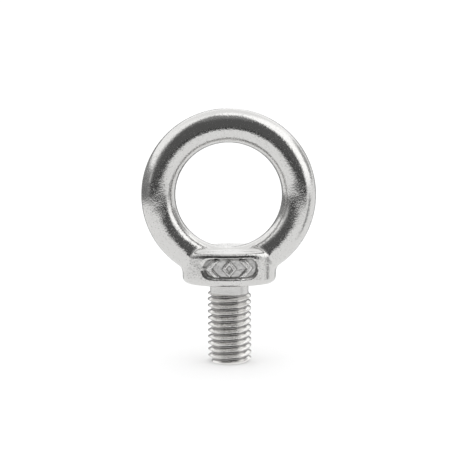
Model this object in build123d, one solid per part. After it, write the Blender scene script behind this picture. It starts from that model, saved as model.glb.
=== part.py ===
from build123d import *
from build123d.topology.shape_core import SkipClean
import os
from math import ceil, hypot, radians, tan

os.makedirs("parts", exist_ok=True)

# A lifting eye bolt: a ring standing on a collar, over a plain neck and a threaded shank.
# The origin is the centre of the collar's underside, +Z points up to the ring, and the
# ring stands in the XZ plane, so a hook passes through it along Y.  Millimetres.

# Ring
ring_radius = 19.2          # centre of the eye to the middle of the tube
tube_radius = 4.65
eye_height = 24.3           # centre of the eye above the seat
root_half_angle = 50.0      # the arc each side of straight down that belongs to the collar

# Collar
collar_width = 25.5
collar_height = 9.4
collar_half_depth = 8.6     # at the crown of its bowed front and back
face_radius = 18.0          # plan radius of the front and the back
corner_radius = 6.0         # upright corners
top_edge_radius = 1.4
bottom_edge_radius = 1.8
root_fillet = 2.4           # where the ring grows out of the collar

# Sunk panel with raised marks, the same on the front and the back
panel_width = 15.9
panel_bottom = 2.1
panel_top = 8.3
panel_corner_radius = 2.7
panel_depth = 0.9
mark_relief = 0.6           # how far a mark stands out of the panel's floor
mark_height = 4.9
mark_width = 4.0
mark_spacing = 4.55         # middle of one mark to the middle of the next
chevron_stroke = 1.15
lozenge_stroke = 0.9

# Neck and thread, M12 x 1.75, right-hand
thread_radius = 5.95        # over the crests
thread_root_radius = 4.93
thread_pitch = 1.75
crest_land = 0.26           # width of the flat on a crest
root_land = 0.40            # width of the flat at a root
neck_radius = 5.25
neck_length = 2.6
neck_socket_depth = 3.0     # how far the neck runs up inside the collar
shank_length = 19.6
tip_chamfer = 1.0           # length of the lead-in at the tip
tip_radius = 5.0
run_out = 0.5               # length of the cone from the neck up to the crests
groove_overshoot = 0.12     # how far the groove's cutter stands out past the crests
groove_margin = 4.0         # degrees that each short arc of the groove runs past its sector
end_overshoot = 1.0         # how far the end cones are carried on outside the crests
sectors = 12                # the thread is built from this many equal sectors

face_centre = face_radius - collar_half_depth
thread_top = -neck_length
thread_tip = thread_top - shank_length
ROOM = 80.0                 # longer than anything that is cut


def collar_block():
    """A block with a bowed front and back, flat sides and every edge rounded."""
    front = Pos(0, face_centre) * Circle(face_radius)
    back = Pos(0, -face_centre) * Circle(face_radius)
    plan = front & back & Rectangle(collar_width, ROOM)
    block = extrude(plan, collar_height)
    block = fillet(block.edges().filter_by(Axis.Z), corner_radius)
    block = fillet(block.faces().sort_by(Axis.Z)[-1].edges(), top_edge_radius)
    return fillet(block.faces().sort_by(Axis.Z)[0].edges(), bottom_edge_radius)


def ring_on_block():
    """The whole round ring on its collar, with a fillet where the two meet."""
    ring = Pos(0, 0, eye_height) * Rot(90, 0, 0) * Torus(ring_radius, tube_radius)
    casting = collar_block() + ring
    return fillet(casting.edges().filter_by(GeomType.BSPLINE), root_fillet)


def root_wedge():
    """A wedge that opens downwards from the centre of the eye, right through front to back."""
    half = ROOM * tan(radians(root_half_angle))
    outline = Polyline((0, 0), (half, -ROOM), (-half, -ROOM), close=True)
    sheet = Plane.XZ * Pos(0, eye_height) * make_face(outline)
    return extrude(sheet, ROOM / 2, both=True)


def front_prism(sketch):
    """A drawing on the XZ plane, pushed out through the front of the collar."""
    return extrude(Plane.XZ * sketch, ROOM / 2)


def bowed_space(depth):
    """The space on the collar's middle side of the front face, sunk by depth."""
    return Pos(0, face_centre) * Cylinder(face_radius - depth, ROOM)


def turned_about(piece):
    """The same piece on the back of the collar."""
    return Rot(0, 0, 180) * piece


def panel_cut():
    """What is taken out of the front to make the sunk panel."""
    middle = (panel_bottom + panel_top) / 2
    outline = Pos(0, middle) * RectangleRounded(
        panel_width, panel_top - panel_bottom, panel_corner_radius
    )
    return front_prism(outline) - bowed_space(panel_depth)


def chevron(direction):
    """A V laid on its side, its point towards direction along X and its ends cut level."""
    x, z = mark_width / 2, mark_height / 2
    end = chevron_stroke * hypot(mark_width - chevron_stroke, z) / z
    corners = [(-x, z), (end - x, z), (x, 0), (end - x, -z), (-x, -z), (x - end, 0)]
    return make_face(Polyline(*((direction * a, b) for a, b in corners), close=True))


def lozenge():
    """A diamond with a diamond-shaped hole."""
    x, z = mark_width / 2, mark_height / 2
    outer = make_face(Polyline((x, 0), (0, z), (-x, 0), (0, -z), close=True))
    centre_to_side = x * z / hypot(x, z)
    return outer - scale(outer, by=1 - lozenge_stroke / centre_to_side)


def marks():
    """Three raised marks on the front panel's floor, each a solid of its own."""
    middle = (panel_bottom + panel_top) / 2
    drawings = (chevron(-1), lozenge(), chevron(1))
    relief = bowed_space(panel_depth - mark_relief) - bowed_space(panel_depth)
    solids = []
    for place, drawing in enumerate(drawings, start=-1):
        raised = front_prism(Pos(place * mark_spacing, middle) * drawing)
        solids += (raised & relief).solids()
    return Compound(children=solids)


def neck():
    """The plain neck, which runs up into the collar."""
    return Pos(0, 0, thread_top) * Cylinder(
        neck_radius,
        neck_length + neck_socket_depth,
        align=(Align.CENTER, Align.CENTER, Align.MIN),
    )


def shank_outline():
    """Half of the shank's length section, with the two end cones carried on past the crests."""
    reach = thread_radius + end_overshoot
    top_slope = run_out / (thread_radius - neck_radius)
    tip_slope = tip_chamfer / (thread_radius - tip_radius)
    return make_face(
        Polyline(
            (0, thread_top),
            (neck_radius, thread_top),
            (reach, thread_top - top_slope * (reach - neck_radius)),
            (reach, thread_tip + tip_slope * (reach - tip_radius)),
            (tip_radius, thread_tip),
            (0, thread_tip),
            close=True,
        )
    )


def groove_arc(angle):
    """A short arc of the V-shaped groove, a little longer than angle at both ends."""
    mouth_radius = thread_radius + groove_overshoot
    slope = (thread_pitch - crest_land - root_land) / 2 / (thread_radius - thread_root_radius)
    mouth_half = root_land / 2 + slope * (mouth_radius - thread_root_radius)
    profile = make_face(
        Polyline(
            (thread_root_radius, -root_land / 2),
            (mouth_radius, -mouth_half),
            (mouth_radius, mouth_half),
            (thread_root_radius, root_land / 2),
            close=True,
        )
    )
    rise = thread_pitch / 360
    path = Helix(thread_pitch, rise * (angle + 2 * groove_margin), thread_root_radius)
    arc = sweep(Plane.XZ * profile, path=path, is_frenet=True)
    return Rot(0, 0, -groove_margin) * Pos(0, 0, -rise * groove_margin) * arc


def threaded_bar():
    """A right-hand threaded bar, longer than the shank at both ends.

    One sector is cut with short arcs of the groove, and copied up the screw.
    """
    angle = 360 / sectors
    low = thread_tip - 1.5 * thread_pitch
    turns = ceil(shank_length / thread_pitch) + 3
    sheet = Pos(thread_radius / 2, low + turns * thread_pitch / 2) * Rectangle(
        thread_radius, turns * thread_pitch
    )
    sector = revolve(Plane.XZ * sheet, Axis.Z, angle)
    groove = groove_arc(angle)
    with SkipClean():
        sector = sector.cut(
            *(Pos(0, 0, low + (turn - 0.5) * thread_pitch) * groove for turn in range(turns + 2))
        )
        copies = [
            Rot(0, 0, number * angle) * Pos(0, 0, number * thread_pitch / sectors) * sector
            for number in range(sectors)
        ]
        return copies[0].fuse(*copies[1:])


def threaded_shank():
    """The threaded bar, cut to length with a cone at each end."""
    bar = threaded_bar()
    envelope = revolve(Plane.XZ * shank_outline(), Axis.Z, 360)
    with SkipClean():
        return bar.intersect(envelope)[0]


def main():
    casting = ring_on_block()
    wedge = root_wedge()
    socket = neck()
    panel = panel_cut()
    front = marks()
    nodes = {
        "lifting_ring": casting - wedge,
        "collar": (casting & wedge) - socket - panel - turned_about(panel),
        "front_marks": front,
        "rear_marks": turned_about(front),
        "neck": socket,
        "threaded_shank": threaded_shank(),
    }
    for name, shape in nodes.items():
        export_step(shape, f"parts/{name}.step")


if __name__ == "__main__":
    main()
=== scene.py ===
"""A polished stainless steel lifting eye bolt, made piece by piece around its CAD frame."""

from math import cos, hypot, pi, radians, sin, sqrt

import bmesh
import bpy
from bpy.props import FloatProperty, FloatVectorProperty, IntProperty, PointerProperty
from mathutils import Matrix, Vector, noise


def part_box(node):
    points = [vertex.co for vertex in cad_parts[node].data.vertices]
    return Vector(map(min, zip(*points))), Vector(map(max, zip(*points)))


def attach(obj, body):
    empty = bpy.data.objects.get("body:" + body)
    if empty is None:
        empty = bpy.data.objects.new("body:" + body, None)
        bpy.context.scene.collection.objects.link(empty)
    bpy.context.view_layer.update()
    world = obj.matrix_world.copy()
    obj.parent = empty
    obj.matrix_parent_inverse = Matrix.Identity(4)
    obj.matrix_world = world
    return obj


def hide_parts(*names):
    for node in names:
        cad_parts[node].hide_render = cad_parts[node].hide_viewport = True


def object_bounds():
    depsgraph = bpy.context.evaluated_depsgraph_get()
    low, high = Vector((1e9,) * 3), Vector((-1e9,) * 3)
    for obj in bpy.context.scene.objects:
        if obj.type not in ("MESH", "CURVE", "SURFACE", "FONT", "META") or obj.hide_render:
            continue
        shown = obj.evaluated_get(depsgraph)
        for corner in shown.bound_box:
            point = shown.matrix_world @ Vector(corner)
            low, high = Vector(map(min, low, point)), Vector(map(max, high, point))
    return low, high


bl_info = {
    "name": "Lifting Eye Bolt",
    "version": (1, 0, 0),
    "blender": (4, 5, 0),
    "location": "View3D > Sidebar > Eye Bolt",
    "description": "Builds a polished lifting eye bolt: ring, collar, marks, neck and thread",
    "category": "Object",
}

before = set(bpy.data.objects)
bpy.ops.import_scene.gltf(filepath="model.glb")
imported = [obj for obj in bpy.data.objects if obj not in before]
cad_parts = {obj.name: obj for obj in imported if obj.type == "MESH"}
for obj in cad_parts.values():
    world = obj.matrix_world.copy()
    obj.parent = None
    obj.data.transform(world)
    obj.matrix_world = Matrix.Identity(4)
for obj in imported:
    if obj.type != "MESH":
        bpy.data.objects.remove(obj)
CAD_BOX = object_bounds()
MM = 0.001
X, Y, Z = Vector((1, 0, 0)), Vector((0, 1, 0)), Vector((0, 0, 1))

# Places and sizes read from the frame, in metres
RING_LOW, RING_HIGH = (Vector(c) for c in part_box("lifting_ring"))
NECK_LOW, NECK_HIGH = (Vector(c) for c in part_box("neck"))
SHANK_LOW, SHANK_HIGH = (Vector(c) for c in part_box("threaded_shank"))
MARKS_LOW, MARKS_HIGH = (Vector(c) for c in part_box("front_marks"))
TUBE_RADIUS = (RING_HIGH.y - RING_LOW.y) / 2
RING_RADIUS = (RING_HIGH.x - RING_LOW.x) / 2 - TUBE_RADIUS
EYE = Vector((0, 0, RING_HIGH.z - RING_RADIUS - TUBE_RADIUS))
SEAT = Vector(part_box("collar")[0]).z
THREAD_RADIUS = (SHANK_HIGH.x - SHANK_LOW.x) / 2
NECK_RADIUS = (NECK_HIGH.x - NECK_LOW.x) / 2
PANEL_MIDDLE = (MARKS_LOW.z + MARKS_HIGH.z) / 2

# Points nearer than these are one point
WELD = 0.001 * MM
FINE_WELD = 0.0005 * MM
THREAD_WELD = 0.002 * MM

# Edges that turn by more than these stay crisp
CAST_CREASE = radians(60)
NECK_CREASE = radians(40)
THREAD_CREASE = radians(35)

# A Mix node's two colour inputs and its colour output
MIX_LOW, MIX_HIGH, MIX_OUT = 6, 7, 2

# Skins: sizes and depths in millimetres
BUFFED_SKIN = {"Pit_Size": 0.42, "Pit_Depth": 0.035, "Ripple_Size": 2.4, "Ripple_Depth": 0.05}
RAW_SKIN = {"Pit_Size": 0.4, "Pit_Depth": 0.12, "Ripple_Size": 1.2, "Ripple_Depth": 0.1}
THREAD_SKIN = {"Pit_Size": 0.3, "Pit_Depth": 0.06, "Ripple_Size": 1.5, "Ripple_Depth": 0.06}

# Radii, in millimetres, between which the painted shade at the root and the painted dark reflection
# along the crest fade
ROOT_PAINTED_SHADE = {"Root": 4.95, "Crest": 5.14}
CREST_PAINTED_REFLECTION = {"Root": 5.9, "Crest": 5.82}

# Painted shade: the dark colour, and how strongly it is mixed in, at the panels' feet, round the
# marks and over each panel's top edge
PAINTED_SHADE_COLOUR = (0.1, 0.098, 0.092)
PAINTED_SHADE_STRENGTH = 0.58
RAW_ROUGHNESS = 0.38


# ---------------------------------------------------------------- settings


class EYEBOLT_PG_ring(bpy.types.PropertyGroup):
    """The ring and the collar's roots."""

    root_angle: FloatProperty(
        name="Root angle", description="Arc each side of straight down that belongs to the collar",
        default=radians(50), subtype="ANGLE", unit="ROTATION")
    steps: IntProperty(name="Steps", description="Faces along the ring's arc", default=260, min=32)
    sides: IntProperty(name="Sides", description="Faces round the tube", default=96, min=16)


class EYEBOLT_PG_collar(bpy.types.PropertyGroup):
    """The collar and its sunk panels."""

    voxel: FloatProperty(
        name="Detail", description="Size of the grid that the casting is smoothed on",
        default=0.2 * MM, unit="LENGTH", precision=5)
    polishing: IntProperty(
        name="Polishing", description="Smoothing passes over the cast surface", default=8, min=0)
    face_radius: FloatProperty(
        name="Face radius", description="Plan radius of the bowed front and back",
        default=18 * MM, unit="LENGTH", precision=4)
    half_depth: FloatProperty(
        name="Half depth", description="From the middle to the crown of the front",
        default=8.6 * MM, unit="LENGTH", precision=4)
    panel_width: FloatProperty(
        name="Panel width", description="Width of the sunk panel", default=15.9 * MM,
        unit="LENGTH", precision=4)
    panel_height: FloatProperty(
        name="Panel height", description="Height of the sunk panel", default=6.2 * MM,
        unit="LENGTH", precision=4)
    panel_corner: FloatProperty(
        name="Panel corner", description="Radius of the panel's corners", default=2.7 * MM,
        unit="LENGTH", precision=4)
    panel_depth: FloatProperty(
        name="Panel depth", description="How far the panel's floor is sunk",
        default=0.9 * MM, unit="LENGTH", precision=4)
    wall: FloatProperty(
        name="Wall", description="Width of the slope down to the floor", default=0.75 * MM,
        unit="LENGTH", precision=4)
    worn_wall: FloatProperty(
        name="Worn wall", description="Width of the slope at the panel's left end",
        default=1.8 * MM, unit="LENGTH", precision=4)


class EYEBOLT_PG_marks(bpy.types.PropertyGroup):
    """The raised marks on the panels."""

    chevron_stroke: FloatProperty(
        name="Chevron stroke", description="Width of a chevron's stroke", default=1.15 * MM,
        unit="LENGTH", precision=4)
    lozenge_stroke: FloatProperty(
        name="Lozenge stroke", description="Width of the lozenge's stroke", default=0.9 * MM,
        unit="LENGTH", precision=4)
    width: FloatProperty(
        name="Width", description="Width of one mark", default=4.0 * MM, unit="LENGTH", precision=4)
    height: FloatProperty(
        name="Height", description="Height of one mark", default=4.9 * MM, unit="LENGTH",
        precision=4)
    spacing: FloatProperty(
        name="Spacing", description="Middle of one mark to the middle of the next",
        default=4.55 * MM, unit="LENGTH", precision=5)
    relief: FloatProperty(
        name="Relief", description="How far a mark stands out of the floor", default=0.6 * MM,
        unit="LENGTH", precision=4)
    rounding: FloatProperty(
        name="Rounding", description="Bevel round a mark's top", default=0.3 * MM, unit="LENGTH",
        precision=4)


class EYEBOLT_PG_thread(bpy.types.PropertyGroup):
    """The screw thread."""

    pitch: FloatProperty(
        name="Pitch", description="Rise of one turn", default=1.75 * MM, unit="LENGTH", precision=5)
    root_radius: FloatProperty(
        name="Root radius", description="Radius at the bottom of the groove", default=4.93 * MM,
        unit="LENGTH", precision=4)
    crest_land: FloatProperty(
        name="Crest", description="Width of the flat on a crest", default=0.26 * MM, unit="LENGTH",
        precision=5)
    root_land: FloatProperty(
        name="Root", description="Width of the flat at a root", default=0.4 * MM, unit="LENGTH",
        precision=5)
    run_out: FloatProperty(
        name="Run-out", description="Length of the cone below the neck", default=0.5 * MM,
        unit="LENGTH", precision=4)
    tip_radius: FloatProperty(
        name="Tip radius", description="Radius of the flat end", default=5.0 * MM, unit="LENGTH",
        precision=4)
    tip_chamfer: FloatProperty(
        name="Tip chamfer", description="Length of the cone at the end", default=1.0 * MM,
        unit="LENGTH", precision=4)
    steps: IntProperty(name="Steps", description="Faces round one turn", default=96, min=24)


class EYEBOLT_PG_finish(bpy.types.PropertyGroup):
    """Colours and gloss of the steel."""

    cast_colour: FloatVectorProperty(
        name="Polished steel", description="Colour of the polished casting", subtype="COLOR",
        size=3, min=0, max=1, default=(0.67, 0.665, 0.655))
    floor_colour: FloatVectorProperty(
        name="Unpolished steel", description="Colour of the panel's as-cast floor",
        subtype="COLOR", size=3, min=0, max=1, default=(0.78, 0.775, 0.765))
    thread_colour: FloatVectorProperty(
        name="Thread steel", description="Colour of the thread", subtype="COLOR", size=3, min=0,
        max=1, default=(0.76, 0.75, 0.735))
    gloss: FloatProperty(
        name="Roughness", description="Roughness of the polished casting", default=0.13, min=0,
        max=1, subtype="FACTOR")


class EYEBOLT_PG_stage(bpy.types.PropertyGroup):
    """Floor, light and camera."""

    light: FloatProperty(
        name="Light", description="Brightness of the white surroundings", default=1.5, min=0)
    floor_light: FloatProperty(
        name="Floor light", description="Brightness of the light that falls on the floor",
        default=1.25, min=0)
    floor_grey: FloatProperty(
        name="Floor in metal", description="Lightness of the floor where the metal mirrors it",
        default=0.87, min=0, max=1)
    floor_colour: FloatVectorProperty(
        name="Floor", description="Colour of the floor", subtype="COLOR", size=3, min=0, max=1,
        default=(0.9, 0.9, 0.9))
    distance: FloatProperty(
        name="Distance", description="From the camera to the bolt", default=0.9, unit="LENGTH")
    elevation: FloatProperty(
        name="Elevation", description="How far the camera looks down", default=radians(10.8),
        subtype="ANGLE", unit="ROTATION")
    roll: FloatProperty(
        name="Roll", description="Tilt of the camera about its own axis", default=radians(0.45),
        subtype="ANGLE", unit="ROTATION")
    view_width: FloatProperty(
        name="View width", description="Width of the picture at the bolt", default=123.1 * MM,
        unit="LENGTH", precision=4)
    aim_side: FloatProperty(
        name="Aim aside", description="How far right of the bolt's axis the camera aims",
        default=-1.05 * MM, unit="LENGTH", precision=5)
    aim_height: FloatProperty(
        name="Aim height", description="How far above the seat the camera aims",
        default=15.9 * MM, unit="LENGTH", precision=5)


class EYEBOLT_PG_settings(bpy.types.PropertyGroup):
    """Everything a user can change."""

    ring: PointerProperty(type=EYEBOLT_PG_ring)
    collar: PointerProperty(type=EYEBOLT_PG_collar)
    marks: PointerProperty(type=EYEBOLT_PG_marks)
    thread: PointerProperty(type=EYEBOLT_PG_thread)
    finish: PointerProperty(type=EYEBOLT_PG_finish)
    stage: PointerProperty(type=EYEBOLT_PG_stage)


# ---------------------------------------------------------------- meshes


def show(bm, name, material, node):
    """Turns a bmesh into a shaded piece that rides on the bolt and stands for a CAD node."""
    mesh = bpy.data.meshes.new(name)
    bm.to_mesh(mesh)
    bm.free()
    piece = bpy.data.objects.new(name, mesh)
    bpy.context.collection.objects.link(piece)
    mesh.materials.append(material)
    mesh.shade_smooth()
    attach(piece, "root")
    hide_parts(node)
    return piece


def sharpen(bm, angle):
    """Marks the edges that turn by more than angle, so that they stay crisp."""
    for edge in bm.edges:
        edge.smooth = edge.calc_face_angle(pi) < angle


def chain(bm, points):
    """A run of edges through points."""
    verts = [bm.verts.new(p) for p in points]
    return verts + [bm.edges.new(pair) for pair in zip(verts, verts[1:])]


def lathe(profile, steps):
    """A profile of (radius, height) points, from axis to axis, spun about Z into a closed solid."""
    bm = bmesh.new()
    run = chain(bm, [(r, 0, z) for r, z in profile])
    bmesh.ops.spin(bm, geom=run, cent=(0, 0, 0), axis=Z, angle=2 * pi, steps=steps,
                   use_merge=True)
    bmesh.ops.remove_doubles(bm, verts=bm.verts, dist=WELD)
    bmesh.ops.recalc_face_normals(bm, faces=bm.faces)
    return bm


def tube_arc(middle_angle, half_angle, steps, sides):
    """A closed stretch of the ring's tube, centred middle_angle round from straight up."""
    bm = bmesh.new()
    made = bmesh.ops.create_circle(bm, cap_ends=True, segments=sides, radius=TUBE_RADIUS)
    start = Matrix.Rotation(middle_angle - half_angle, 4, "Y")
    place = Matrix.Translation(EYE) @ start @ Matrix.Translation((0, 0, RING_RADIUS))
    upright = Matrix.Rotation(pi / 2, 4, "Y")
    bmesh.ops.transform(bm, verts=made["verts"], matrix=place @ upright)
    bmesh.ops.spin(bm, geom=bm.faces[:], cent=EYE, axis=Y, angle=2 * half_angle, steps=steps)
    bmesh.ops.recalc_face_normals(bm, faces=bm.faces)
    return bm


def cut_off(bm, point, normal, weld):
    """Cuts away what lies past a plane, on the side that normal points to, and closes the hole."""
    cut = bmesh.ops.bisect_plane(
        bm, geom=bm.verts[:] + bm.edges[:] + bm.faces[:], dist=weld, plane_co=point,
        plane_no=normal, clear_outer=True)
    rim = [g for g in cut["geom_cut"] if isinstance(g, bmesh.types.BMEdge)]
    bmesh.ops.holes_fill(bm, edges=rim, sides=0)


# ---------------------------------------------------------------- finishes


def node_in(tree, kind, **settings):
    """A new node with its properties and, under its sockets' names, its inputs set."""
    node = tree.nodes.new(kind)
    inputs = settings.pop("inputs", {})
    for name, value in settings.items():
        setattr(node, name, value)
    for name, value in inputs.items():
        if isinstance(value, bpy.types.NodeSocket):
            tree.links.new(value, node.inputs[name])
        else:
            node.inputs[name].default_value = value
    return node


def group_shell(name, inputs, outputs):
    """An empty shader node group: (group, input node, output node)."""
    group = bpy.data.node_groups.new(name, "ShaderNodeTree")
    for socket, kind, value in inputs:
        made = group.interface.new_socket(socket, in_out="INPUT", socket_type=kind)
        if value is not None:
            made.default_value = value
    for socket, kind in outputs:
        group.interface.new_socket(socket, in_out="OUTPUT", socket_type=kind)
    return group, group.nodes.new("NodeGroupInput"), group.nodes.new("NodeGroupOutput")


def cast_skin_group():
    """Skin of a polished casting, in millimetre coordinates.

    Height is soft ripples with fine pits in them, and Pits says where the pits are.
    """
    group, given, out = group_shell(
        "Cast Skin",
        [("Position", "NodeSocketVector", None), ("Pit Size", "NodeSocketFloat", 0.35),
         ("Pit Depth", "NodeSocketFloat", 0.5), ("Ripple Size", "NodeSocketFloat", 2.2),
         ("Ripple Depth", "NodeSocketFloat", 0.5)],
        [("Height", "NodeSocketFloat"), ("Pits", "NodeSocketFloat")])

    def patterned(size, detail):
        scale = node_in(group, "ShaderNodeMath", operation="DIVIDE",
                        inputs={0: 1.0, 1: given.outputs[size]}).outputs[0]
        return node_in(group, "ShaderNodeTexNoise", inputs={
            "Vector": given.outputs["Position"], "Scale": scale, "Detail": detail,
            "Roughness": 0.5}).outputs["Fac"]

    fine, broad = patterned("Pit Size", 2.0), patterned("Ripple Size", 0.0)
    pits = node_in(group, "ShaderNodeMath", operation="MULTIPLY",
                   inputs={0: fine, 1: given.outputs["Pit Depth"]})
    both = node_in(group, "ShaderNodeMath", operation="MULTIPLY_ADD", inputs={
        0: broad, 1: given.outputs["Ripple Depth"], 2: pits.outputs[0]})
    group.links.new(both.outputs[0], out.inputs["Height"])
    group.links.new(map_range(group, fine, 0.5, 0.68, 0, 1), out.inputs["Pits"])
    return group


def painted_groove_shade_group():
    """How much painted shade the bottom of a round part's grooves gets: 1 at the root radius, 0 at
    the crests.
    """
    group, given, out = group_shell(
        "Painted Groove Shade",
        [("Position", "NodeSocketVector", None), ("Root", "NodeSocketFloat", 4.9),
         ("Crest", "NodeSocketFloat", 5.9)],
        [("Painted Shade", "NodeSocketFloat")])
    flat = node_in(group, "ShaderNodeVectorMath", operation="MULTIPLY", inputs={
        0: given.outputs["Position"], 1: (1, 1, 0)})
    radius = node_in(group, "ShaderNodeVectorMath", operation="LENGTH",
                     inputs={0: flat.outputs[0]})
    mask = node_in(group, "ShaderNodeMapRange", clamp=True, inputs={
        "Value": radius.outputs["Value"], "From Min": given.outputs["Root"],
        "From Max": given.outputs["Crest"], "To Min": 1.0, "To Max": 0.0})
    group.links.new(mask.outputs[0], out.inputs["Painted Shade"])
    return group


def effect(tree, group, **values):
    """A shared effect placed in a material, with its own values."""
    node = tree.nodes.new("ShaderNodeGroup")
    node.node_tree = bpy.data.node_groups[group]
    for name, value in values.items():
        socket = node.inputs[name.replace("_", " ")]
        if isinstance(value, bpy.types.NodeSocket):
            tree.links.new(value, socket)
        else:
            socket.default_value = value
    return node


def steel(name):
    """A bare metal material: (material, tree, shader, position in millimetres)."""
    material = bpy.data.materials.new(name)
    material.use_nodes = True
    tree = material.node_tree
    shader = tree.nodes["Principled BSDF"]
    shader.inputs["Metallic"].default_value = 1.0
    where = node_in(tree, "ShaderNodeTexCoord").outputs["Object"]
    scaled = node_in(tree, "ShaderNodeMapping", inputs={
        "Vector": where, "Scale": (1 / MM, 1 / MM, 1 / MM)})
    return material, tree, shader, scaled.outputs[0]


def wire_bump(tree, shader, height, distance):
    """Raises the surface by height times distance."""
    bump = node_in(tree, "ShaderNodeBump", inputs={
        "Height": height, "Distance": distance, "Strength": 1.0})
    tree.links.new(bump.outputs[0], shader.inputs["Normal"])


def darker(colour, share):
    """A colour, with a share of its brightness."""
    return [channel * share for channel in colour]


def blend_colour(tree, mask, low, high):
    """A colour that goes from low to high with mask; each of them is a colour or a socket."""
    low, high = (end if isinstance(end, bpy.types.NodeSocket) else (*end, 1)
                 for end in (low, high))
    return node_in(tree, "ShaderNodeMix", data_type="RGBA", inputs={
        0: mask, MIX_LOW: low, MIX_HIGH: high}).outputs[MIX_OUT]


def map_range(tree, value, from_low, from_high, to_low, to_high, smooth=False):
    """value, carried from one range to another and held there."""
    return node_in(tree, "ShaderNodeMapRange", clamp=True,
                   interpolation_type="SMOOTHSTEP" if smooth else "LINEAR", inputs={
                       "Value": value, "From Min": from_low, "From Max": from_high,
                       "To Min": to_low, "To Max": to_high}).outputs[0]


def mix_values(tree, mask, low, high):
    """A value that goes from low to high with mask."""
    return node_in(tree, "ShaderNodeMix", data_type="FLOAT",
                   inputs={0: mask, 2: low, 3: high}).outputs[0]


def buffed_steel(finish):
    """Buffed investment-cast steel, as cast where sunk is 1 and darkened with painted shade where
    the shade mask is 1.
    """
    material, tree, shader, position = steel("buffed_steel")
    sunk = node_in(tree, "ShaderNodeAttribute", attribute_name="sunk").outputs["Fac"]
    painted_shade = node_in(tree, "ShaderNodeAttribute", attribute_name="painted_shade").outputs["Fac"]
    skin = effect(tree, "Cast Skin", Position=position, **BUFFED_SKIN)
    rough = effect(tree, "Cast Skin", Position=position, **RAW_SKIN)
    bright = blend_colour(tree, skin.outputs["Pits"], finish.cast_colour,
                          darker(finish.cast_colour, 0.92))
    raw = blend_colour(tree, rough.outputs["Pits"], finish.floor_colour,
                       darker(finish.floor_colour, 0.82))
    clean = blend_colour(tree, sunk, bright, raw)
    # Painted shade: the shade mask mixes the colour towards a near-black
    cover = maths(tree, "MULTIPLY", painted_shade, PAINTED_SHADE_STRENGTH)
    tree.links.new(blend_colour(tree, cover, clean, PAINTED_SHADE_COLOUR), shader.inputs["Base Color"])
    in_pits = finish.gloss + 0.2
    buffed = mix_values(tree, skin.outputs["Pits"], finish.gloss, in_pits)
    tree.links.new(mix_values(tree, sunk, buffed, RAW_ROUGHNESS), shader.inputs["Roughness"])
    height = mix_values(tree, sunk, skin.outputs["Height"], rough.outputs["Height"])
    wire_bump(tree, shader, height, MM)
    return material


def thread_steel(finish):
    """Satin steel, with painted shade at the bottom of the grooves and a faint painted dark
    reflection along the crests.
    """
    material, tree, shader, position = steel("thread_steel")
    # Painted shade at the roots, and a faint painted dark reflection along the crests
    root_shade = effect(tree, "Painted Groove Shade", Position=position, **ROOT_PAINTED_SHADE)
    crest_reflection = effect(tree, "Painted Groove Shade", Position=position, **CREST_PAINTED_REFLECTION)
    faint = maths(tree, "MULTIPLY", crest_reflection.outputs["Painted Shade"], 0.15)
    either = maths(tree, "MAXIMUM", root_shade.outputs["Painted Shade"], faint)
    colour = blend_colour(tree, either, finish.thread_colour, darker(finish.thread_colour, 0.4))
    tree.links.new(colour, shader.inputs["Base Color"])
    skin = effect(tree, "Cast Skin", Position=position, **THREAD_SKIN)
    rough = mix_values(tree, skin.outputs["Pits"], 0.12, 0.24)
    tree.links.new(rough, shader.inputs["Roughness"])
    wire_bump(tree, shader, skin.outputs["Height"], MM)
    return material


def neck_steel(finish):
    """Turned steel with fine rings round it."""
    material, tree, shader, position = steel("neck_steel")
    rings = node_in(tree, "ShaderNodeMapping", inputs={
        "Vector": position, "Scale": (0.15, 0.15, 9.0)})
    lines = node_in(tree, "ShaderNodeTexNoise", inputs={
        "Vector": rings.outputs[0], "Scale": 1.0, "Detail": 2.0}).outputs["Fac"]
    colour = blend_colour(tree, lines, darker(finish.cast_colour, 0.93), finish.cast_colour)
    tree.links.new(colour, shader.inputs["Base Color"])
    tree.links.new(map_range(tree, lines, 0.3, 0.7, 0.2, 0.34), shader.inputs["Roughness"])
    wire_bump(tree, shader, lines, 0.01 * MM)
    return material


def material_named(name):
    """A finish, made the first time that it is asked for."""
    makers = {"buffed_steel": buffed_steel, "thread_steel": thread_steel,
              "neck_steel": neck_steel}
    if not bpy.data.node_groups.get("Cast Skin"):
        cast_skin_group()
        painted_groove_shade_group()
    return bpy.data.materials.get(name) or makers[name](bpy.context.scene.eyebolt.finish)


# ---------------------------------------------------------------- pieces


class EYEBOLT_OT_ring(bpy.types.Operator):
    """Make the round ring"""

    bl_idname = "eyebolt.ring"
    bl_label = "Ring"

    def execute(self, context):
        own = context.scene.eyebolt.ring
        bm = tube_arc(0.0, pi - own.root_angle, own.steps, own.sides)
        sharpen(bm, CAST_CREASE)
        show(bm, "ring_tube", material_named("buffed_steel"), "lifting_ring")
        return {"FINISHED"}


def bowed_face_y(own, x, sunk=0.0):
    """Where the front face lies at x, sunk by a depth."""
    radius = own.face_radius - sunk
    return own.face_radius - own.half_depth - sqrt(radius**2 - x**2)


def ease(value, low, high):
    """0 below low, 1 above high and a smooth step between."""
    t = min(max((value - low) / (high - low), 0), 1)
    return t * t * (3 - 2 * t)


def panel_inside(own, x, z):
    """How far inside the panel's rounded outline (x, z) is, negative outside it."""
    beside = abs(x) - own.panel_width / 2 + own.panel_corner
    above = abs(z - PANEL_MIDDLE) - own.panel_height / 2 + own.panel_corner
    outside = hypot(max(beside, 0), max(above, 0)) + min(max(beside, above), 0)
    return own.panel_corner - outside


def outline_gap(strokes, x, z):
    """The distance from (x, z) to the nearest of the marks' edges."""
    nearest = 1.0
    for ax, az, bx, bz in strokes:
        along = ((x - ax) * bx + (z - az) * bz) / (bx * bx + bz * bz)
        along = min(max(along, 0), 1)
        nearest = min(nearest, hypot(x - ax - along * bx, z - az - along * bz))
    return nearest


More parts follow.
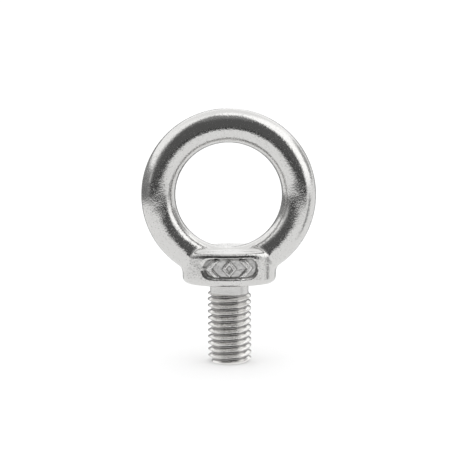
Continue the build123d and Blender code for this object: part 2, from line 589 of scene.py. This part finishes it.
def collar_plugs(own):
    """Closed shells that fill the frame's sharp-edged panels and the neck's socket."""
    bm = bmesh.new()
    slices, sides = 48, 64
    plug_depth = 1.4 * own.panel_depth
    clearance, overlap = 0.3 * MM, 0.15 * MM
    for turn in (0, pi):
        half_x, half_z = own.panel_width / 2 + own.wall / 2, own.panel_height / 2
        sheet = bmesh.ops.create_grid(bm, x_segments=slices, y_segments=1, size=1)["verts"]
        bmesh.ops.scale(bm, verts=sheet, vec=(half_x, half_z, 1))
        bmesh.ops.rotate(bm, verts=sheet, cent=(0, 0, 0), matrix=Matrix.Rotation(pi / 2, 3, "X"))
        bmesh.ops.translate(bm, verts=sheet, vec=(0, 0, PANEL_MIDDLE))
        for vert in sheet:
            vert.co.y = bowed_face_y(own, vert.co.x)
        faces = list({face for vert in sheet for face in vert.link_faces})
        inner = bmesh.ops.extrude_face_region(bm, geom=faces, use_keep_orig=True)["geom"]
        inner = [g for g in inner if isinstance(g, bmesh.types.BMVert)]
        bmesh.ops.translate(bm, verts=inner, vec=(0, plug_depth, 0))
        bmesh.ops.rotate(bm, verts=sheet + inner, cent=(0, 0, 0),
                         matrix=Matrix.Rotation(turn, 3, "Z"))
    rod_height, rod_radius = NECK_HIGH.z - SEAT + clearance, NECK_RADIUS + overlap
    bmesh.ops.create_cone(
        bm, cap_ends=True, segments=sides, radius1=rod_radius, radius2=rod_radius,
        depth=rod_height,
        matrix=Matrix.Translation((0, 0, SEAT + rod_height / 2)))
    bmesh.ops.recalc_face_normals(bm, faces=bm.faces)
    return bm


def add_shell(bm, shell):
    """Adds a second bmesh to the first, and frees it."""
    mesh = bpy.data.meshes.new("shell")
    shell.to_mesh(mesh)
    shell.free()
    bm.from_mesh(mesh)
    bpy.data.meshes.remove(mesh)


def polish(bm, passes, verts=None):
    """Smooths a surface in small even steps."""
    for _ in range(passes):
        bmesh.ops.smooth_vert(bm, verts=verts or bm.verts, factor=0.5, use_axis_x=True,
                              use_axis_y=True, use_axis_z=True)


def sink_panel(bm, own, marks, front):
    """Sinks the soft-edged panel into the front face, -1, or the back face, 1."""
    half_x, half_z = own.panel_width / 2, own.panel_height / 2
    reach_x, reach_z = half_x + 0.6 * MM, half_z + 0.5 * MM
    on_face = 4 * MM
    worn_from, worn_to = 4 * MM, 7 * MM
    brow_ends = 1.6 * MM

    def on_panel(vert):
        return (vert.co.y * front > on_face and abs(vert.co.x) < reach_x
                and abs(vert.co.z - PANEL_MIDDLE) < reach_z)

    edges = [e for e in bm.edges if all(on_panel(v) for v in e.verts)]
    bmesh.ops.subdivide_edges(bm, edges=edges, cuts=1, use_grid_fill=True)
    zone = [v for v in bm.verts if on_panel(v)]
    polish(bm, 3, zone)
    strokes = []
    for place, loops in mark_shapes(marks):
        for loop in loops:
            for (ax, az), (bx, bz) in zip(loop, loop[1:] + loop[:1]):
                strokes.append((place * marks.spacing + ax, PANEL_MIDDLE + az, bx - ax, bz - az))
    # The second layer holds painted shade
    sunk, painted_shade = bm.verts.layers.float["sunk"], bm.verts.layers.float["painted_shade"]
    for vert in zone:
        x, z = -front * vert.co.x, vert.co.z
        grain = Vector((x, 0, z)) / MM
        ragged = 0.13 * MM * noise.noise(grain * 1.3)
        wall = own.wall + (own.worn_wall - own.wall) * ease(-x, worn_from, worn_to)
        inside = panel_inside(own, x, z) + ragged
        share = ease(inside, 0, wall)
        pitted = 0.02 * MM * noise.noise(grain * 2.6) * share
        vert.co.y -= front * (own.panel_depth * share + pitted)
        vert[sunk] = ease(share, 0.1, 0.6)
        foot = ease(share, 0.25, 0.7) * (1 - ease(inside - wall, -0.1 * MM, 0.35 * MM))
        edge = 1 - ease(outline_gap(strokes, x + ragged, z), 0.05 * MM, 0.4 * MM)
        # The painted shade is darkest at the foot of the wall, round the marks and over the top
        # edge.
        over = z - PANEL_MIDDLE - own.panel_height / 2 - 0.2 * MM + 2 * ragged
        brow = ease(over, -0.35 * MM, 0) * (1 - ease(over, 0.15 * MM, 0.5 * MM))
        brow *= 1 - ease(abs(x), half_x - brow_ends, half_x)
        vert[painted_shade] = max(foot, 0.8 * edge * share, brow)


class EYEBOLT_OT_collar(bpy.types.Operator):
    """Make the collar, smoothed into the roots of the ring"""

    bl_idname = "eyebolt.collar"
    bl_label = "Collar"

    def execute(self, context):
        own = context.scene.eyebolt.collar
        ring = context.scene.eyebolt.ring
        bm = bmesh.new()
        bm.from_mesh(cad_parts["collar"].data)
        bmesh.ops.remove_doubles(bm, verts=bm.verts, dist=FINE_WELD)
        add_shell(bm, collar_plugs(own))
        # A stretch of ring past each root keeps the smoothing away from the cut ends.
        stub_half_angle, stub_steps = radians(6), 8
        for side in (-1, 1):
            add_shell(bm, tube_arc(side * (pi - ring.root_angle), stub_half_angle, stub_steps,
                                   ring.sides))
        bm = regrid(bm, own.voxel)
        polish(bm, own.polishing)
        for side in (-1, 1):
            cut = Matrix.Rotation(side * (pi - ring.root_angle), 3, "Y")
            cut_off(bm, EYE, -side * (cut @ X), WELD)
        bm.verts.layers.float.new("sunk")
        bm.verts.layers.float.new("painted_shade")
        for front in (-1, 1):
            sink_panel(bm, own, context.scene.eyebolt.marks, front)
        sharpen(bm, CAST_CREASE)
        show(bm, "collar_body", material_named("buffed_steel"), "collar")
        return {"FINISHED"}


def regrid(bm, voxel):
    """The same solid, joined where its shells overlap and laid out again on an even grid."""
    mesh = bpy.data.meshes.new("regrid")
    bm.to_mesh(mesh)
    bm.free()
    holder = bpy.data.objects.new("regrid", mesh)
    bpy.context.collection.objects.link(holder)
    remesh = holder.modifiers.new("grid", "REMESH")
    remesh.mode = "VOXEL"
    remesh.voxel_size = voxel
    bpy.context.view_layer.update()
    made = bpy.data.meshes.new_from_object(
        holder.evaluated_get(bpy.context.evaluated_depsgraph_get()))
    bpy.data.objects.remove(holder)
    bpy.data.meshes.remove(mesh)
    out = bmesh.new()
    out.from_mesh(made)
    bpy.data.meshes.remove(made)
    return out


def chevron_outline(own, direction):
    """A V laid on its side, its point towards direction: (x, z) corners."""
    x, z = own.width / 2, own.height / 2
    end = own.chevron_stroke * hypot(own.width - own.chevron_stroke, z) / z
    corners = [(-x, z), (end - x, z), (x, 0), (end - x, -z), (-x, -z), (x - end, 0)]
    return [(direction * a, b) for a, b in corners]


def mark_shapes(own):
    """Each mark's place and its outlines, a hole's after its own: (x, z) corners."""
    x, z = own.width / 2, own.height / 2
    lozenge = [(x, 0), (0, z), (-x, 0), (0, -z)]
    hole = 1 - own.lozenge_stroke * hypot(x, z) / (x * z)
    return [
        (-1, [chevron_outline(own, -1)]),
        (0, [lozenge, [(a * hole, b * hole) for a, b in lozenge]]),
        (1, [chevron_outline(own, 1)]),
    ]


def build_marks(context, turn):
    """The raised marks of one panel, wrapped to its bowed floor."""
    own, collar = context.scene.eyebolt.marks, context.scene.eyebolt.collar
    bm = bmesh.new()
    for place, loops in mark_shapes(own):
        edges = []
        for loop in loops:
            verts = [bm.verts.new((place * own.spacing + a, 0, PANEL_MIDDLE + b))
                     for a, b in loop]
            edges += [bm.edges.new((verts[i - 1], verts[i])) for i in range(len(verts))]
        bmesh.ops.triangle_fill(bm, edges=edges, use_dissolve=True, use_beauty=True)
    # The marks start a little below the panel's floor, so that no gap shows round them.
    bedded = 0.25 * own.relief
    raised = bmesh.ops.extrude_face_region(bm, geom=bm.faces[:], use_keep_orig=True)["geom"]
    raised = {g for g in raised if isinstance(g, bmesh.types.BMVert)}
    bmesh.ops.translate(bm, verts=list(raised), vec=(0, -own.relief - bedded, 0))
    bmesh.ops.recalc_face_normals(bm, faces=bm.faces)
    rims = [e for e in bm.edges
            if all(v in raised for v in e.verts) and e.calc_face_angle(0) > radians(30)]
    bmesh.ops.bevel(bm, geom=rims, offset=own.rounding, segments=3, profile=0.5,
                    affect="EDGES", material=-1)
    bmesh.ops.triangulate(bm, faces=bm.faces)
    bmesh.ops.subdivide_edges(bm, edges=bm.edges, cuts=3, use_grid_fill=True)
    # Painted shade: each mark darkens towards its foot, where it meets the panel's floor
    sunk, painted_shade = bm.verts.layers.float.new("sunk"), bm.verts.layers.float.new("painted_shade")
    half_buffed = 0.55
    for vert in bm.verts:
        risen = -vert.co.y / (own.relief + bedded)
        vert[sunk] = half_buffed
        vert[painted_shade] = 1 - ease(risen, 0.3, 0.85)
        vert.co.y += bowed_face_y(collar, vert.co.x, collar.panel_depth) + bedded
    bmesh.ops.rotate(bm, verts=bm.verts, cent=(0, 0, 0), matrix=Matrix.Rotation(turn, 3, "Z"))
    return bm


class EYEBOLT_OT_marks(bpy.types.Operator):
    """Make the raised marks on the front and the back panel"""

    bl_idname = "eyebolt.marks"
    bl_label = "Marks"

    def execute(self, context):
        for side, turn in (("front", 0.0), ("rear", pi)):
            show(build_marks(context, turn), side + "_relief",
                 material_named("buffed_steel"), side + "_marks")
        return {"FINISHED"}


class EYEBOLT_OT_neck(bpy.types.Operator):
    """Make the plain neck"""

    bl_idname = "eyebolt.neck"
    bl_label = "Neck"

    def execute(self, context):
        flare, overlap, buried, steps = 0.3 * MM, 0.4 * MM, 0.8 * MM, 96
        inside, below = SEAT + buried, NECK_LOW.z - overlap
        curve = [radians(angle) for angle in range(0, 91, 15)]
        flared = [(NECK_RADIUS + flare * (1 - sin(a)), SEAT - flare * (1 - cos(a)))
                  for a in curve]
        profile = [(0, inside), (NECK_RADIUS + flare, inside), *flared,
                   (NECK_RADIUS, below + overlap / 2), (NECK_RADIUS - overlap / 2, below),
                   (0, below)]
        bm = lathe(profile, steps)
        sharpen(bm, NECK_CREASE)
        show(bm, "neck_barrel", material_named("neck_steel"), "neck")
        return {"FINISHED"}


def thread_profile(own):
    """One pitch of the thread from root to root, with its crest rounded: (radius, height)."""
    crest, root = THREAD_RADIUS, own.root_radius
    flank = (own.pitch - own.crest_land - own.root_land) / 2
    a, b = own.root_land / 2, own.root_land / 2 + flank
    c, d = b + own.crest_land, own.pitch - own.root_land / 2
    soft = 0.05 * MM
    slope = flank / (crest - root)
    return [
        (root, 0), (root, a - soft), (root + soft, a + soft * slope),
        (crest - soft, b - soft * slope), (crest - soft / 4, b + soft / 3), (crest, b + soft),
        (crest, c - soft), (crest - soft / 4, c - soft / 3), (crest - soft, c + soft * slope),
        (root + soft, d - soft * slope), (root, d + soft), (root, own.pitch),
    ]


class EYEBOLT_OT_thread(bpy.types.Operator):
    """Make the threaded shank"""

    bl_idname = "eyebolt.thread"
    bl_label = "Thread"

    def execute(self, context):
        own = context.scene.eyebolt.thread
        top, tip = SHANK_HIGH.z, SHANK_LOW.z
        turns = int((top - tip) / own.pitch) + 3
        bm = bmesh.new()
        start = tip - own.pitch
        run = chain(bm, [(r, 0, start + z) for r, z in thread_profile(own)])
        rise = own.pitch / own.steps
        bmesh.ops.spin(bm, geom=run, cent=(0, 0, 0), axis=Z, dvec=(0, 0, rise),
                       angle=2 * pi * turns, steps=own.steps * turns)
        bmesh.ops.remove_doubles(bm, verts=bm.verts, dist=THREAD_WELD)
        top_slope = (THREAD_RADIUS - NECK_RADIUS) / own.run_out
        tip_slope = (THREAD_RADIUS - own.tip_radius) / own.tip_chamfer
        for vert in bm.verts:
            radius = vert.co.xy.length
            limit = min(NECK_RADIUS + (top - vert.co.z) * top_slope,
                        own.tip_radius + (vert.co.z - tip) * tip_slope, radius)
            vert.co.xy *= max(limit, 0.5 * radius) / radius
        for height, normal in ((top, Z), (tip, -Z)):
            cut_off(bm, (0, 0, height), normal, FINE_WELD)
        bmesh.ops.recalc_face_normals(bm, faces=bm.faces)
        sharpen(bm, THREAD_CREASE)
        show(bm, "screw_thread", material_named("thread_steel"), "threaded_shank")
        return {"FINISHED"}


# ---------------------------------------------------------------- stage


def compass(tree, aim):
    """Azimuth from the front, right positive, and elevation of a vector: degrees."""
    split = node_in(tree, "ShaderNodeSeparateXYZ", inputs={0: aim})
    ahead = maths(tree, "MULTIPLY", split.outputs["Y"], -1.0)
    azimuth = maths(tree, "DEGREES", maths(tree, "ARCTAN2", split.outputs["X"], ahead))
    elevation = maths(tree, "DEGREES", maths(tree, "ARCSINE", split.outputs["Z"]))
    return azimuth, elevation


def maths(tree, operation, *values):
    """One step of arithmetic."""
    return node_in(tree, "ShaderNodeMath", operation=operation,
                   inputs=dict(enumerate(values))).outputs[0]


def soft_band(tree, value, low, high, soft_low, soft_high):
    """1 where value lies from low to high, fading out over a soft edge each side."""
    rise = map_range(tree, value, low - soft_low, low, 0, 1, True)
    fall = map_range(tree, value, high, high + soft_high, 1, 0, True)
    return maths(tree, "MULTIPLY", rise, fall)


def hang_cards(tree, light, cards):
    """light with soft-edged cards hung in front of it, each in front of those before it.

    A card is its level, its band across and its band up or outward, and a band is
    (value, low, high, soft low, soft high).
    """
    for level, across, up in cards:
        mask = maths(tree, "MULTIPLY", soft_band(tree, *across), soft_band(tree, *up))
        light = mix_values(tree, mask, light, level)
    return light


def build_surroundings(own):
    """A white room with a dark opening in front and grey cards round it.

    The metal sees the room, and the floor is lit by an even white sky.
    """
    world = bpy.data.worlds.new("studio")
    bpy.context.scene.world = world
    world.use_nodes = True
    tree = world.node_tree
    room = tree.nodes["Background"]
    azimuth, elevation = compass(tree, node_in(tree, "ShaderNodeTexCoord").outputs["Generated"])
    behind = maths(tree, "ABSOLUTE", azimuth)
    light = map_range(tree, elevation, -10, 20, 0.88, 1.0, True)
    cards = (
        (0.82, (azimuth, -150, -60, 20, 20), (elevation, 10, 75, 10, 10)),
        (0.72, (behind, 140, 181, 25, 1), (elevation, 38, 70, 14, 14)),
        (0.79, (behind, 145, 181, 25, 1), (elevation, 3, 22, 6, 10)),
        (0.12, (azimuth, -178, -150, 2, 14), (elevation, -4, 11, 4, 6)),
        (0.16, (azimuth, 152, 174, 12, 4), (elevation, -4, 8, 4, 6)),
        (0.2, (azimuth, -135, -80, 25, 10), (elevation, -5, 8, 6, 8)),
        (0.3, (azimuth, 103, 128, 8, 8), (elevation, 2, 24, 5, 8)),
        (0.18, (azimuth, -58, 53, 28, 8), (elevation, -11, 77, 6, 8)),
        (0.075, (azimuth, -46, 50, 20, 6), (elevation, -9, 46, 7, 22)),
    )
    tree.links.new(hang_cards(tree, light, cards), room.inputs["Color"])
    room.inputs["Strength"].default_value = own.light
    sky = node_in(tree, "ShaderNodeBackground", inputs={
        "Color": (1, 1, 1, 1), "Strength": own.floor_light})
    spread = node_in(tree, "ShaderNodeLightPath").outputs["Is Diffuse Ray"]
    both = node_in(tree, "ShaderNodeMixShader", inputs={
        0: spread, 1: room.outputs[0], 2: sky.outputs[0]})
    tree.links.new(both.outputs[0], tree.nodes["World Output"].inputs["Surface"])


def wide_plane(name, height):
    """A wide level plane with a matt paint: (object, tree, shader)."""
    bm = bmesh.new()
    cells, half_size = 8, 3.0
    bmesh.ops.create_grid(bm, x_segments=cells, y_segments=cells, size=half_size)
    bmesh.ops.translate(bm, verts=bm.verts, vec=(0, 0, height))
    mesh = bpy.data.meshes.new(name)
    bm.to_mesh(mesh)
    bm.free()
    plane = bpy.data.objects.new(name, mesh)
    bpy.context.collection.objects.link(plane)
    paint = bpy.data.materials.new(name + "_paint")
    paint.use_nodes = True
    shader = paint.node_tree.nodes["Principled BSDF"]
    shader.inputs["Roughness"].default_value = 1.0
    shader.inputs["Specular IOR Level"].default_value = 0.0
    mesh.materials.append(paint)
    return plane, paint.node_tree, shader


def build_floor(own):
    """A wide pale floor, and a darker floor in front of it that only the metal sees: its dark and
    grey cards are painted reflections.
    """
    floor, _, shader = wide_plane("floor", CAD_BOX[0][2])
    shader.inputs["Base Color"].default_value = (*own.floor_colour, 1)
    floor.visible_glossy = False

    seen, tree, shader = wide_plane("painted_reflection_floor", CAD_BOX[0][2])
    seen.visible_camera = seen.visible_diffuse = seen.visible_shadow = False
    # Painted reflection: dark and grey cards that show only in the metal
    place = node_in(tree, "ShaderNodeTexCoord").outputs["Object"]
    azimuth, _ = compass(tree, place)
    behind = maths(tree, "ABSOLUTE", azimuth)
    away = node_in(tree, "ShaderNodeVectorMath", operation="LENGTH",
                   inputs={0: place}).outputs["Value"]
    cards = (
        (0.19, (azimuth, -135, -60, 25, 10), (away, 0.24, 9, 0.06, 1)),
        (0.3, (azimuth, 72, 81, 5, 6), (away, 0.09, 0.26, 0.03, 0.05)),
        (0.065, (azimuth, -50, 54, 24, 7), (away, 0.24, 9, 0.06, 1)),
        (0.2, (behind, 150, 181, 14, 1), (away, 0.1, 9, 0.05, 1)),
    )
    tree.links.new(hang_cards(tree, own.floor_grey, cards), shader.inputs["Base Color"])


def build_camera(own):
    """The camera in front of the bolt, a little above it."""
    data = bpy.data.cameras.new("camera")
    camera = bpy.data.objects.new("camera", data)
    bpy.context.collection.objects.link(camera)
    data.lens = data.sensor_width * own.distance / own.view_width
    data.clip_start, data.clip_end = 0.01, 20
    target = Vector((own.aim_side, 0, SEAT + own.aim_height))
    away = Vector((0, -cos(own.elevation), sin(own.elevation)))
    camera.location = target + away * own.distance
    facing = (-away).to_track_quat("-Z", "Y").to_matrix()
    camera.rotation_euler = (facing @ Matrix.Rotation(-own.roll, 3, "Z")).to_euler()
    bpy.context.scene.camera = camera


class EYEBOLT_OT_stage(bpy.types.Operator):
    """Make the floor, the soft light and the camera"""

    bl_idname = "eyebolt.stage"
    bl_label = "Stage"

    def execute(self, context):
        own = context.scene.eyebolt.stage
        build_camera(own)
        build_floor(own)
        build_surroundings(own)
        context.scene.view_settings.view_transform = "Standard"
        return {"FINISHED"}


OPERATORS = (EYEBOLT_OT_stage, EYEBOLT_OT_ring, EYEBOLT_OT_collar, EYEBOLT_OT_marks,
             EYEBOLT_OT_neck, EYEBOLT_OT_thread)


class EYEBOLT_PT_panel(bpy.types.Panel):
    """The pieces and their settings"""

    bl_idname = "EYEBOLT_PT_panel"
    bl_label = "Lifting Eye Bolt"
    bl_space_type = "VIEW_3D"
    bl_region_type = "UI"
    bl_category = "Eye Bolt"

    def draw(self, context):
        for operator in OPERATORS:
            self.layout.operator(operator.bl_idname)
        settings = context.scene.eyebolt
        for name in ("ring", "collar", "marks", "thread", "finish", "stage"):
            box = self.layout.box()
            box.label(text=name.capitalize())
            part = getattr(settings, name)
            for prop in part.__annotations__:
                box.prop(part, prop)


CLASSES = (EYEBOLT_PG_ring, EYEBOLT_PG_collar, EYEBOLT_PG_marks, EYEBOLT_PG_thread,
           EYEBOLT_PG_finish, EYEBOLT_PG_stage, EYEBOLT_PG_settings, *OPERATORS,
           EYEBOLT_PT_panel)


def register():
    for cls in CLASSES:
        bpy.utils.register_class(cls)
    bpy.types.Scene.eyebolt = PointerProperty(type=EYEBOLT_PG_settings)


def unregister():
    del bpy.types.Scene.eyebolt
    for cls in reversed(CLASSES):
        bpy.utils.unregister_class(cls)


def main():
    """Builds the stage and every piece."""
    register()
    bpy.ops.eyebolt.stage()
    bpy.ops.eyebolt.ring()
    bpy.ops.eyebolt.collar()
    bpy.ops.eyebolt.marks()
    bpy.ops.eyebolt.neck()
    bpy.ops.eyebolt.thread()


if __name__ == "__main__":
    main()
